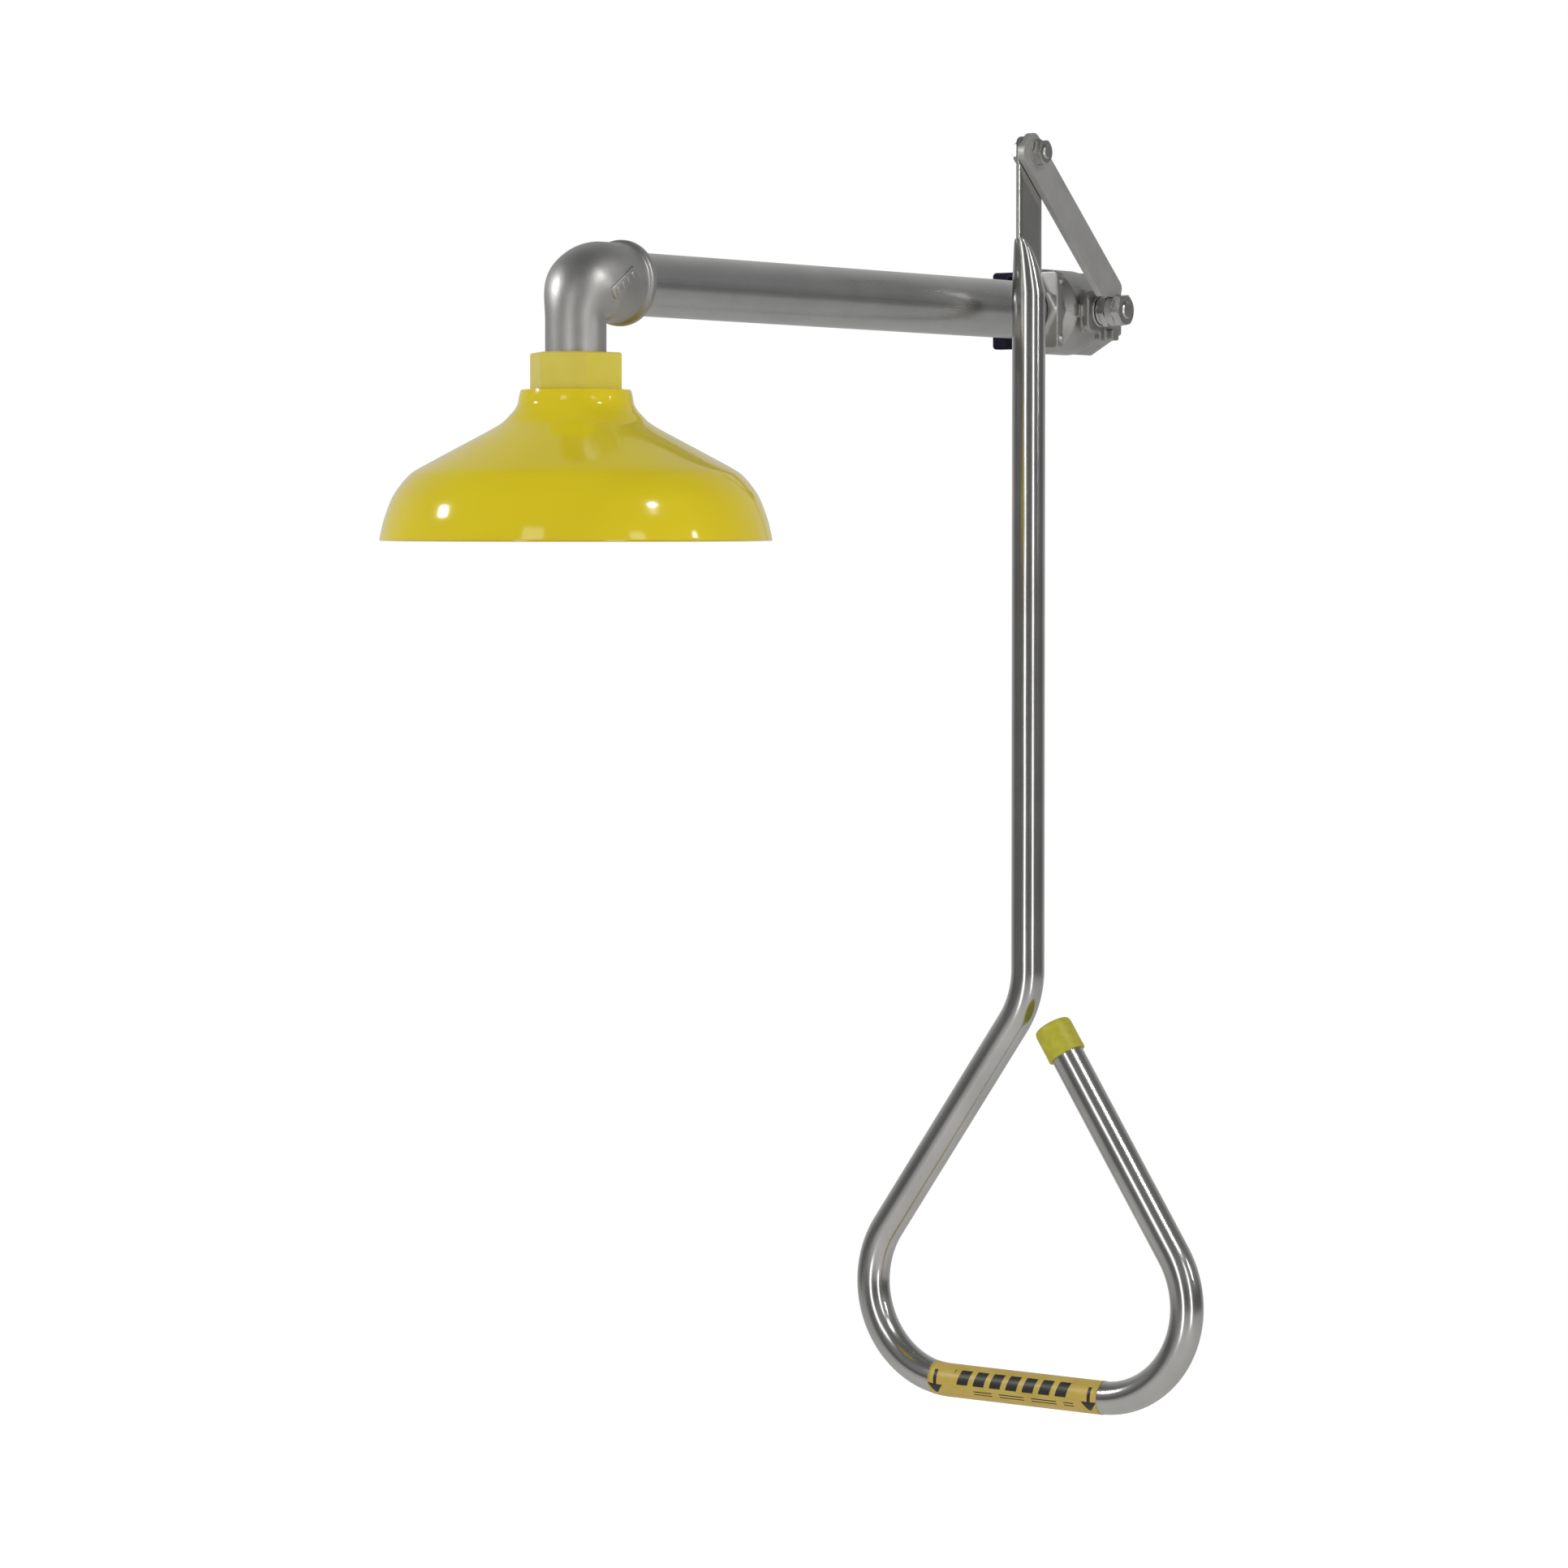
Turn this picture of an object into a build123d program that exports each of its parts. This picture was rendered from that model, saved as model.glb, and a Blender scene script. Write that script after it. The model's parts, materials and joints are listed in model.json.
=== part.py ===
"""Emergency safety shower: ball valve, arm, elbow, drench rose, lever and pull rod with a triangular handle.

Millimetres, +Z up. The origin is the centre of the valve's inlet face, the wall side is +Y, the arm
runs towards -Y and the valve stem points to +X.
"""
import os
from math import cos, radians, sin, tan

from build123d import *

# ---- overall sizes -------------------------------------------------------------------------
arm_reach = 509.0            # inlet face to the axis of the rose
pipe_diameter = 33.7         # one inch nominal bore
pipe_wall = 2.9
rod_diameter = 19.05
rod_wall = 1.5
rod_drop = 712.9             # lever pivot to the lowest corner of the handle
lever_rise = 87.0            # stem to pivot, upwards and forwards alike
rose_diameter = 206.0
rose_height = 79.0

# ---- fits ------------------------------------------------------------------------------------
thread_fit = 0.05            # between a screwed pair, on the radius
running_fit = 0.05           # between a turning pair, on the radius
slip_fit = 0.05              # axial play of a turning piece
body_gap = 0.3               # between pieces of different moving bodies

# ---- valve -------------------------------------------------------------------------------------
valve_front = 34.0           # ball centre to the outlet face
valve_back = 42.0            # ball centre to the inlet face
chamber_radius = 24.8
ball_radius = 19.0
port_radius = 12.5
body_joint = 20.0            # ball centre to the split between body and end piece
thread_depth = 14.0
outlet_wall = 2.35             # arm thread to the flats of the outlet
end_across_flats = 42.0
inlet_thread_radius = 15.15
inlet_thread_length = 17.0
seat_radius = 17.0
seat_start = 13.2
seat_end = 18.0
joint_thread_radius = 21.0
flange_size = 44.8             # square flange behind the outlet hexagon
flange_thickness = 6.3
flange_setback = 2.0           # outlet face to the flange
gasket_thickness = 1.0
pad_x = 31.0                 # outer face of the stem pad
pad_thickness = 4.0
stem_radius = 5.0
packing_radius = 8.0
packing_start = 24.0
packing_end = 28.8
follower_end = 33.2
spring_end = 36.0
gland_nut_end = 39.5
stem_flat = 8.0

# ---- lever and pivot ---------------------------------------------------------------------------
lever_x = 39.8               # inner face of the lever
lever_thickness = 4.0
lever_width = 20.0
lever_lean = 48.1              # bar from the upright, degrees
lever_lead = 3.5               # centre line of the bar in front of the pivot
lever_foot = 7.8               # cut foot of the bar above the stem
lever_hub_radius = 9.0         # round hub under the foot
lever_end_reach = 12.0         # pivot to the square end of the bar
lever_end_round = 7.0
lever_foot_round = 5.0
washer_thickness = 1.0
stem_nut_thickness = 5.0
stem_nut_flats = 17.0
stem_end_x = 51.0
pivot_radius = 4.0
pivot_head = 5.3
pivot_flats = 13.0
pivot_nut_thickness = 4.8
pivot_washer_thickness = 1.2
bush_wall = 1.5

# ---- pull rod ------------------------------------------------------------------------------------
flat_thickness = 3.0
flat_width = 25.0
flat_above_pivot = 9.0
flat_below_pivot = 50.0
flat_blend = 30.0
loop_height = 228.0          # lowest corner up to the first bend
left_reach = 156.7           # rod axis to the left lower corner
right_reach = 154.5          # rod axis to the right lower corner
bar_tilt = 6.4               # the right corner hangs this much lower
bend_radius = 55.0
free_end_reach = 16.9        # rod axis to the free end, sideways
free_end_height = 212.6      # lowest corner up to the free end
cap_length = 20.0
cap_wall = 1.6
label_length = 115.0
label_offset = -4.0          # centre of the label from the middle of the bar
label_thickness = 0.25

# ---- elbow and rose ------------------------------------------------------------------------------
elbow_leg_radius = 16.1
elbow_bend = 20.0
elbow_section = 18.5
collar_wall = 4.35           # pipe to the outside of the collar
bead_rise = 1.6
bead_width = 5.0
collar_face = 42.0           # elbow centre to the collar face
leg_end = 54.0               # elbow centre to the lower end of the leg
hex_top = 38.0
hex_height = 19.4
hex_across_flats = 43.6
hex_turn = 20.0
spigot_radius = 16.8
spigot_length = 14.0
rose_wall = 2.8
rose_plate = 4.0
hub_radius = 29.6
locknut_radius = 25.0
locknut_height = 8.0
deflector_radius = 33.0
deflector_thickness = 2.0
deflector_drop = 43.0        # top of the rose to the top of the deflector
post_radius = 3.0
post_circle = 20.0
screw_radius = 1.6

os.makedirs("parts", exist_ok=True)

ball_y = -valve_back
outlet_y = ball_y - valve_front
joint_y = ball_y + body_joint
pipe_radius = pipe_diameter / 2
pipe_back_y = outlet_y + thread_depth
collar_y = -arm_reach + collar_face
pipe_front_y = collar_y - thread_depth - 1.0
rod_radius = rod_diameter / 2
pivot_y = ball_y - lever_rise
outlet_across_flats = pipe_diameter + 2 * outlet_wall
collar_radius = pipe_diameter / 2 + collar_wall
bead_radius = collar_radius + bead_rise
pivot_z = lever_rise
rod_x = lever_x - body_gap - flat_thickness / 2
stem_axis = Plane(origin=(0, ball_y, 0), x_dir=(0, 1, 0), z_dir=(1, 0, 0))
arm_axis = Plane(origin=(0, 0, 0), x_dir=(1, 0, 0), z_dir=(0, -1, 0))


def across_x(x):
    """Plane square to the stem at this height above the ball."""
    return Plane(origin=(x, ball_y, 0), x_dir=(0, 1, 0), z_dir=(1, 0, 0))


def pivot_plane(x):
    """Plane square to the pivot bolt."""
    return Plane(origin=(x, pivot_y, pivot_z), x_dir=(0, 1, 0), z_dir=(1, 0, 0))


def arm_plane(y):
    """Plane square to the arm, looking forwards."""
    return Plane(origin=(0, y, 0), x_dir=(1, 0, 0), z_dir=(0, -1, 0))


def rose_plane(z):
    """Plane square to the rose axis."""
    return Plane(origin=(0, -arm_reach, z), x_dir=(1, 0, 0), z_dir=(0, 0, 1))


def nut_corners(plane, flats, thickness):
    """Turns a hexagon's corners down to a cone at the face that the plane lies on."""
    with BuildSketch(plane) as face:
        Circle(flats / 2 * 0.97)
    extrude(face.sketch, amount=thickness, taper=-60, mode=Mode.INTERSECT)


def save(builder, name):
    builder.part.label = name
    export_step(builder.part, "parts/" + name + ".step")


# ---- valve body: casting with the chamber, the outlet end and the stem pad ------------------------
with BuildPart() as valve_body:
    with BuildSketch(arm_plane(ball_y + 14.0)):
        Circle(chamber_radius)
    extrude(amount=28.0)
    with BuildSketch(arm_plane(ball_y + 14.0)):
        Circle(chamber_radius)
    extrude(amount=-(body_joint - 14.0), taper=16)
    with BuildSketch(arm_plane(ball_y - 14.0)):
        Circle(chamber_radius)
    with BuildSketch(arm_plane(ball_y - 22.0)):
        Circle(outlet_across_flats / 2 - 0.6)
    loft()
    with BuildSketch(arm_plane(ball_y - 21.0)):
        RegularPolygon(outlet_across_flats / 2, 6, major_radius=False, rotation=0)
    extrude(amount=valve_front - 21.0)
    outlet_rim = valve_body.faces().sort_by(Axis.Y)[0]
    chamfer(outlet_rim.edges(), length=1.2)
    with BuildSketch(arm_plane(ball_y - valve_front + flange_setback + flange_thickness)):
        RectangleRounded(flange_size, flange_size, 2.0)
    extrude(amount=flange_thickness)
    with BuildSketch(across_x(18.0)):
        Circle(11.0)
        Rectangle(30.0, 7.0)
        Rectangle(7.0, 25.0)
    extrude(amount=pad_x - pad_thickness - 18.0)
    with BuildSketch(across_x(pad_x - pad_thickness)):
        RectangleRounded(24.0, 24.0, 5.0)
        with Locations((8.0, -11.0)):
            RectangleRounded(13.0, 13.0, 2.0)
    extrude(amount=pad_thickness)
    with BuildSketch(across_x(pad_x)):
        with Locations((10.5, -13.5)):
            RectangleRounded(7.0, 7.0, 1.5)
    extrude(amount=5.0)
    with BuildSketch(arm_plane(ball_y + 14.0 + 0.0)):
        Circle(ball_radius + 0.5)
    extrude(amount=14.0 + seat_start + 0.8, mode=Mode.SUBTRACT)
    with BuildSketch(arm_plane(joint_y + 0.5)):
        Circle(joint_thread_radius + thread_fit)
    extrude(amount=body_joint - 14.0 + gasket_thickness + 0.5, mode=Mode.SUBTRACT)
    with BuildSketch(arm_plane(ball_y - seat_start - 0.7)):
        Circle(seat_radius + thread_fit)
    extrude(amount=seat_end - seat_start - 0.7, mode=Mode.SUBTRACT)
    with BuildSketch(arm_plane(ball_y - seat_start)):
        Circle(port_radius)
    extrude(amount=20.0, mode=Mode.SUBTRACT)
    with BuildSketch(arm_plane(pipe_back_y)):
        Circle(pipe_radius + thread_fit)
    extrude(amount=thread_depth + 1.0, mode=Mode.SUBTRACT)
    with BuildSketch(across_x(10.0)):
        Circle(stem_radius + running_fit)
    extrude(amount=pad_x, mode=Mode.SUBTRACT)
    with BuildSketch(across_x(packing_start - 1.2)):
        Circle(packing_radius + thread_fit)
    extrude(amount=pad_x, mode=Mode.SUBTRACT)
save(valve_body, "valve_body")

# ---- valve end piece: the inlet end, screwed into the back of the body ---------------------------
with BuildPart() as valve_end_piece:
    with BuildSketch(arm_plane(0)):
        RegularPolygon(end_across_flats / 2, 6, major_radius=False, rotation=30)
    extrude(amount=-joint_y - body_gap)
    chamfer(valve_end_piece.faces().sort_by(Axis.Y)[-1].edges(), length=1.0)
    with BuildSketch(arm_plane(joint_y + 1.0)):
        Circle(joint_thread_radius)
    extrude(amount=body_joint - 14.0 + 1.0)
    with BuildSketch(arm_plane(0)):
        Circle(inlet_thread_radius)
    extrude(amount=inlet_thread_length, mode=Mode.SUBTRACT)
    with BuildSketch(arm_plane(0)):
        Circle(port_radius)
    extrude(amount=valve_back, mode=Mode.SUBTRACT)
    with BuildSketch(arm_plane(ball_y + seat_end)):
        Circle(seat_radius + thread_fit)
    extrude(amount=seat_end, mode=Mode.SUBTRACT)
save(valve_end_piece, "valve_end_piece")

with BuildPart() as body_gasket:
    with BuildSketch(arm_plane(ball_y + 14.0)):
        Circle(joint_thread_radius)
        Circle(ball_radius + 0.6, mode=Mode.SUBTRACT)
    extrude(amount=gasket_thickness)
save(body_gasket, "body_gasket")

# ---- seats: two rings that bear on the ball ------------------------------------------------------
with BuildPart() as seat_rings:
    for start, way in ((ball_y - seat_start, 1), (ball_y + seat_start, -1)):
        with BuildSketch(arm_plane(start)):
            Circle(seat_radius)
            Circle(port_radius, mode=Mode.SUBTRACT)
        extrude(amount=way * (seat_end - seat_start))
    with Locations((0, ball_y, 0)):
        Sphere(ball_radius + running_fit, mode=Mode.SUBTRACT)
save(seat_rings, "seat_rings")

# ---- ball: bored across, slotted for the stem, shut in the rest position -------------------------
with BuildPart() as ball:
    with Locations((0, ball_y, 0)):
        Sphere(ball_radius)
    with BuildSketch(Plane(origin=(0, ball_y, -ball_radius))):
        Circle(port_radius)
    extrude(amount=2 * ball_radius, mode=Mode.SUBTRACT)
    with BuildSketch(across_x(14.5)):
        Rectangle(6.1, 30.0)
    extrude(amount=6.0, mode=Mode.SUBTRACT)
save(ball, "ball")

# ---- stem: tongue, shoulder, shaft and threaded end with two flats -------------------------------
with BuildPart() as stem:
    with BuildSketch(across_x(15.0)):
        Rectangle(6.0, 8.0)
    extrude(amount=4.5)
    with BuildSketch(across_x(19.0)):
        Circle(stem_radius)
    extrude(amount=stem_end_x - 19.0)
    chamfer(stem.faces().sort_by(Axis.X)[-1].edges(), length=0.8)
    with BuildSketch(across_x(lever_x)):
        Rectangle(12.0, 12.0)
        Rectangle(12.0, stem_flat, mode=Mode.SUBTRACT)
    extrude(amount=lever_thickness, mode=Mode.SUBTRACT)
save(stem, "stem")

with BuildPart() as stem_packing:
    with BuildSketch(across_x(packing_start)):
        Circle(packing_radius)
        Circle(stem_radius + running_fit, mode=Mode.SUBTRACT)
    extrude(amount=packing_end - packing_start)
save(stem_packing, "stem_packing")

with BuildPart() as thrust_washer:
    with BuildSketch(across_x(packing_start - 1.15)):
        Circle(packing_radius)
        Circle(stem_radius + running_fit, mode=Mode.SUBTRACT)
    extrude(amount=1.1)
save(thrust_washer, "thrust_washer")

with BuildPart() as gland_follower:
    with BuildSketch(across_x(packing_end)):
        Circle(packing_radius)
    extrude(amount=pad_x - packing_end + 0.2)
    with BuildSketch(across_x(pad_x + 0.1)):
        Circle(9.6)
    extrude(amount=follower_end - pad_x - 0.1)
    fillet(gland_follower.faces().sort_by(Axis.X)[-1].edges(), radius=0.8)
    with BuildSketch(across_x(packing_end)):
        Circle(stem_radius + running_fit)
    extrude(amount=10.0, mode=Mode.SUBTRACT)
save(gland_follower, "gland_follower")

# ---- two disc springs, set face to face ----------------------------------------------------------
with BuildPart() as disc_springs:
    for at, way in ((follower_end + body_gap, 1), (spring_end - 0.1, -1)):
        with BuildSketch(across_x(at)):
            Circle(8.2)
        extrude(amount=way * 1.15, taper=38)
    with BuildSketch(across_x(follower_end)):
        Circle(stem_radius + 0.03)
    extrude(amount=4.0, mode=Mode.SUBTRACT)
save(disc_springs, "disc_springs")

with BuildPart() as gland_nut:
    with BuildSketch(across_x(spring_end)):
        RegularPolygon(stem_nut_flats / 2, 6, major_radius=False, rotation=12)
    extrude(amount=gland_nut_end - spring_end)
    with BuildSketch(across_x(spring_end)):
        Circle(stem_radius + 0.03)
    extrude(amount=6.0, mode=Mode.SUBTRACT)
save(gland_nut, "gland_nut")

# ---- lever: a round hub on the stem, and a flat bar welded on it that leans up and forwards ------
lean = radians(lever_lean)
bar_start_y = pivot_y - lever_lead + lever_rise * tan(lean)
bar_plane = Plane(origin=(lever_x, bar_start_y, 0), x_dir=(0, -sin(lean), cos(lean)), z_dir=(1, 0, 0))
bar_top = lever_rise / cos(lean) - lever_lead * sin(lean) + lever_end_reach
with BuildPart() as lever:
    with BuildSketch(bar_plane):
        with Locations(((bar_top - lever_width) / 2, 0)):
            Rectangle(bar_top + lever_width, lever_width)
    extrude(amount=lever_thickness)
    with Locations((lever_x, bar_start_y, lever_foot - lever_width * 2)):
        Box(4 * lever_thickness, 8 * lever_width, 4 * lever_width, mode=Mode.SUBTRACT)
    uprights = lever.edges().filter_by(Axis.X).sort_by(Axis.Z)
    foot_corner = uprights[:2].sort_by(Axis.Y)[-1]
    fillet(uprights[-2:], radius=lever_end_round)
    fillet(foot_corner, radius=lever_foot_round)
    with BuildSketch(across_x(lever_x)):
        Circle(lever_hub_radius)
    extrude(amount=lever_thickness)
    with BuildSketch(across_x(lever_x)):
        Circle(stem_radius + 0.03)
        Rectangle(4 * stem_radius, stem_flat + 0.06, mode=Mode.INTERSECT)
    extrude(amount=lever_thickness, mode=Mode.SUBTRACT)
    with BuildSketch(pivot_plane(lever_x)):
        Circle(pivot_radius + 0.03)
    extrude(amount=lever_thickness, mode=Mode.SUBTRACT)
save(lever, "lever")

with BuildPart() as stem_washer:
    with BuildSketch(across_x(lever_x + lever_thickness)):
        Circle(9.2)
        Circle(stem_radius + 0.03, mode=Mode.SUBTRACT)
    extrude(amount=washer_thickness)
save(stem_washer, "stem_washer")

with BuildPart() as stem_nut:
    with BuildSketch(across_x(lever_x + lever_thickness + washer_thickness)):
        RegularPolygon(stem_nut_flats / 2, 6, major_radius=False, rotation=8)
    extrude(amount=stem_nut_thickness)
    stem_nut_face = across_x(lever_x + lever_thickness + washer_thickness + stem_nut_thickness)
    nut_corners(-stem_nut_face, stem_nut_flats, stem_nut_thickness)
    with BuildSketch(stem_nut_face):
        Circle(stem_radius + 0.03)
    extrude(amount=-stem_nut_thickness, mode=Mode.SUBTRACT)
save(stem_nut, "stem_nut")

# ---- pivot: hexagon bolt through the rod and the lever, running in a bush ------------------------
head_face_x = lever_x - 2 * body_gap - flat_thickness
nut_face_x = lever_x + lever_thickness + pivot_washer_thickness
with BuildPart() as pivot_bolt:
    with BuildSketch(pivot_plane(head_face_x)):
        RegularPolygon(pivot_flats / 2, 6, major_radius=False, rotation=20)
    extrude(amount=-pivot_head)
    nut_corners(pivot_plane(head_face_x - pivot_head), pivot_flats, pivot_head)
    with BuildSketch(pivot_plane(head_face_x - 0.5)):
        Circle(pivot_radius)
    extrude(amount=nut_face_x + pivot_nut_thickness + 1.2 - head_face_x + 0.5)
    chamfer(pivot_bolt.faces().sort_by(Axis.X)[-1].edges(), length=0.7)
save(pivot_bolt, "pivot_bolt")

with BuildPart() as pivot_bush:
    with BuildSketch(pivot_plane(head_face_x + slip_fit)):
        Circle(pivot_radius + bush_wall)
        Circle(pivot_radius + running_fit, mode=Mode.SUBTRACT)
    extrude(amount=lever_x - head_face_x - 2 * slip_fit)
save(pivot_bush, "pivot_bush")

with BuildPart() as pivot_washer:
    with BuildSketch(pivot_plane(lever_x + lever_thickness)):
        Circle(7.6)
        Circle(pivot_radius + 0.03, mode=Mode.SUBTRACT)
    extrude(amount=pivot_washer_thickness)
save(pivot_washer, "pivot_washer")

with BuildPart() as pivot_nut:
    with BuildSketch(pivot_plane(nut_face_x)):
        RegularPolygon(pivot_flats / 2, 6, major_radius=False, rotation=6)
    extrude(amount=pivot_nut_thickness)
    pivot_nut_face = pivot_plane(nut_face_x + pivot_nut_thickness)
    nut_corners(-pivot_nut_face, pivot_flats, pivot_nut_thickness)
    with BuildSketch(pivot_nut_face):
        Circle(pivot_radius + 0.03)
    extrude(amount=-pivot_nut_thickness, mode=Mode.SUBTRACT)
save(pivot_nut, "pivot_nut")

# ---- pull rod: one bent tube with its top end pressed flat ---------------------------------------
round_top_z = pivot_z - flat_below_pivot - flat_blend
upper_bend = (rod_x, pivot_y, pivot_z - rod_drop + loop_height)
left_corner = (rod_x - left_reach, pivot_y, pivot_z - rod_drop + bar_tilt)
right_corner = (rod_x + right_reach, pivot_y, pivot_z - rod_drop)
free_end = (rod_x + free_end_reach, pivot_y, pivot_z - rod_drop + free_end_height)


def rod_section(z):
    return Plane(origin=(rod_x, pivot_y, z), x_dir=(1, 0, 0), z_dir=(0, 0, -1))


with BuildPart() as pull_rod:
    with BuildLine() as rod_path:
        FilletPolyline((rod_x, pivot_y, round_top_z), upper_bend, left_corner, right_corner, free_end,
                       radius=bend_radius)
    with BuildSketch(rod_section(round_top_z)):
        Circle(rod_radius)
        Circle(rod_radius - rod_wall, mode=Mode.SUBTRACT)
    sweep(path=rod_path.line)
    with BuildSketch(rod_section(round_top_z)):
        Circle(rod_radius)
    with BuildSketch(rod_section(round_top_z + flat_blend)):
        Ellipse(flat_thickness / 2, flat_width / 2)
    loft()
    with BuildSketch(Plane(origin=(rod_x - flat_thickness / 2, pivot_y, pivot_z), x_dir=(0, 1, 0),
                           z_dir=(1, 0, 0))):
        with Locations((0, (flat_above_pivot - flat_below_pivot - 8.0) / 2)):
            RectangleRounded(flat_width, flat_above_pivot + flat_below_pivot + 8.0, 7.0)
    extrude(amount=flat_thickness)
    with BuildSketch(pivot_plane(rod_x - flat_thickness)):
        Circle(pivot_radius + bush_wall + running_fit)
    extrude(amount=2 * flat_thickness, mode=Mode.SUBTRACT)
save(pull_rod, "pull_rod")

# ---- vinyl cap over the free end -----------------------------------------------------------------
end_run = Vector(*free_end) - Vector(*right_corner)
end_plane = Plane(origin=free_end, x_dir=(0, 1, 0), z_dir=end_run.normalized())
with BuildPart() as rod_end_cap:
    with BuildSketch(end_plane):
        Circle(rod_radius + cap_wall)
    extrude(amount=cap_wall)
    fillet(rod_end_cap.faces().sort_by(Axis.Z)[-1].edges(), radius=cap_wall * 0.9)
    with BuildSketch(end_plane):
        Circle(rod_radius + cap_wall)
        Circle(rod_radius + 0.02, mode=Mode.SUBTRACT)
    extrude(amount=-(cap_length - cap_wall))
save(rod_end_cap, "rod_end_cap")

# ---- printed label wrapped round the grip --------------------------------------------------------
bar_run = (Vector(*right_corner) - Vector(*left_corner)).normalized()
bar_middle = (Vector(*right_corner) + Vector(*left_corner)) * 0.5
label_place = Plane(origin=bar_middle + bar_run * label_offset, x_dir=bar_run, z_dir=(0, -1, 0))
with BuildPart() as grip_label:
    with BuildSketch(rod_section(round_top_z)):
        Circle(rod_radius + 0.02 + label_thickness)
        Circle(rod_radius + 0.02, mode=Mode.SUBTRACT)
    sweep(path=rod_path.line)
    with Locations(label_place):
        Box(label_length, 3 * rod_diameter, 3 * rod_diameter, mode=Mode.INTERSECT)
save(grip_label, "grip_label")

# ---- arm pipe ------------------------------------------------------------------------------------
with BuildPart() as arm_pipe:
    with BuildSketch(arm_plane(pipe_back_y - 0.3)):
        Circle(pipe_radius)
        Circle(pipe_radius - pipe_wall, mode=Mode.SUBTRACT)
    extrude(amount=pipe_back_y - 0.3 - pipe_front_y)
save(arm_pipe, "arm_pipe")

# ---- elbow: cast, collar on the pipe, plain leg down into the rose -------------------------------
with BuildPart() as elbow:
    with BuildSketch(rose_plane(-leg_end)):
        Circle(elbow_leg_radius)
    extrude(amount=leg_end - elbow_bend + 1.0)
    with BuildSketch(rose_plane(-elbow_bend)):
        Circle(elbow_section)
    revolve(axis=Axis((0, -arm_reach + elbow_bend, -elbow_bend), (1, 0, 0)), revolution_arc=-90)
    with BuildSketch(rose_plane(-elbow_bend)):
        Circle(elbow_section)
    with BuildSketch(rose_plane(-elbow_bend - 9.0)):
        Circle(elbow_leg_radius)
    loft()
    with BuildSketch(arm_plane(-arm_reach + elbow_bend)):
        Circle(elbow_section)
    with BuildSketch(arm_plane(-arm_reach + elbow_bend + 6.0)):
        Circle(collar_radius)
    loft()
    with BuildSketch(arm_plane(collar_y)):
        Circle(collar_radius)
    extrude(amount=collar_face - elbow_bend - 6.0)
    with BuildSketch(arm_plane(collar_y)):
        Circle(bead_radius)
    extrude(amount=bead_width)
    fillet(elbow.faces().sort_by(Axis.Y)[-1].edges(), radius=1.6)
    with BuildSketch(arm_plane(collar_y)):
        Circle(pipe_radius + thread_fit)
    extrude(amount=thread_depth + 2.0, mode=Mode.SUBTRACT)
    with BuildSketch(rose_plane(-leg_end)):
        Circle(port_radius)
    extrude(amount=leg_end - elbow_bend, mode=Mode.SUBTRACT)
    with BuildSketch(rose_plane(-elbow_bend)):
        Circle(port_radius)
    revolve(axis=Axis((0, -arm_reach + elbow_bend, -elbow_bend), (1, 0, 0)), revolution_arc=-90,
            mode=Mode.SUBTRACT)
    with BuildSketch(arm_plane(collar_y - thread_depth)):
        Circle(port_radius)
    extrude(amount=collar_face - thread_depth - elbow_bend, mode=Mode.SUBTRACT)
save(elbow, "elbow")

# ---- rose: hexagon socket, bell, locknut, flow disc and deflector --------------------------------
plate_z = -hex_top - hex_height
locknut_z = plate_z - rose_plate
deflector_z = plate_z - deflector_drop
rim_z = plate_z - rose_height
with BuildPart() as rose_socket:
    with BuildSketch(rose_plane(plate_z)):
        RegularPolygon(hex_across_flats / 2, 6, major_radius=False, rotation=hex_turn)
    extrude(amount=hex_height)
    chamfer(rose_socket.faces().sort_by(Axis.Z)[-1].edges(), length=0.8)
    with BuildSketch(rose_plane(plate_z)):
        Circle(spigot_radius)
    extrude(amount=-spigot_length)
    with BuildSketch(rose_plane(-leg_end - 0.3)):
        Circle(elbow_leg_radius + thread_fit)
    extrude(amount=hex_height, mode=Mode.SUBTRACT)
    with BuildSketch(rose_plane(plate_z - spigot_length)):
        Circle(port_radius)
    extrude(amount=hex_height + spigot_length, mode=Mode.SUBTRACT)
save(rose_socket, "rose_socket")

rose_radius = rose_diameter / 2
outer_line = [(29.6, -3.0), (30.4, -7.0), (34.4, -12.7), (38.6, -17.2), (45.6, -21.6)]
cone_line = [(45.6, -21.6), (84.0, -42.5)]
skirt_line = [(84.0, -42.5), (91.4, -49.0), (96.0, -55.8), (98.6, -61.5), (rose_radius, -rose_height)]
with BuildPart() as rose_shell:
    with BuildSketch(Plane(origin=(0, -arm_reach, plate_z), x_dir=(1, 0, 0), z_dir=(0, -1, 0))):
        with BuildLine():
            Polyline((spigot_radius + thread_fit, 0), (27.4, 0), outer_line[0])
            Spline(outer_line)
            Line(*cone_line)
            Spline(skirt_line)
            Line((rose_radius, -rose_height), (rose_radius - rose_wall, -rose_height))
            Spline([(x - rose_wall * 0.95, y - rose_wall * 0.45 if y > -70 else y) for x, y in reversed(skirt_line)])
            Line((84.0 - rose_wall * 0.95, -42.5 - rose_wall * 0.45), (45.6 - rose_wall * 0.6, -21.6 - rose_wall))
            Spline([(45.6 - rose_wall * 0.6, -21.6 - rose_wall), (35.6, -19.0), (27.2, -9.0), (26.4, -rose_plate)])
            Line((26.4, -rose_plate), (spigot_radius + thread_fit, -rose_plate))
            Line((spigot_radius + thread_fit, -rose_plate), (spigot_radius + thread_fit, 0))
        make_face()
    revolve(axis=Axis((0, -arm_reach, 0), (0, 0, 1)))
save(rose_shell, "rose_shell")

with BuildPart() as rose_locknut:
    with BuildSketch(rose_plane(locknut_z)):
        RegularPolygon(locknut_radius, 8)
        Circle(spigot_radius + thread_fit, mode=Mode.SUBTRACT)
    extrude(amount=-locknut_height)
save(rose_locknut, "rose_locknut")

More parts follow.
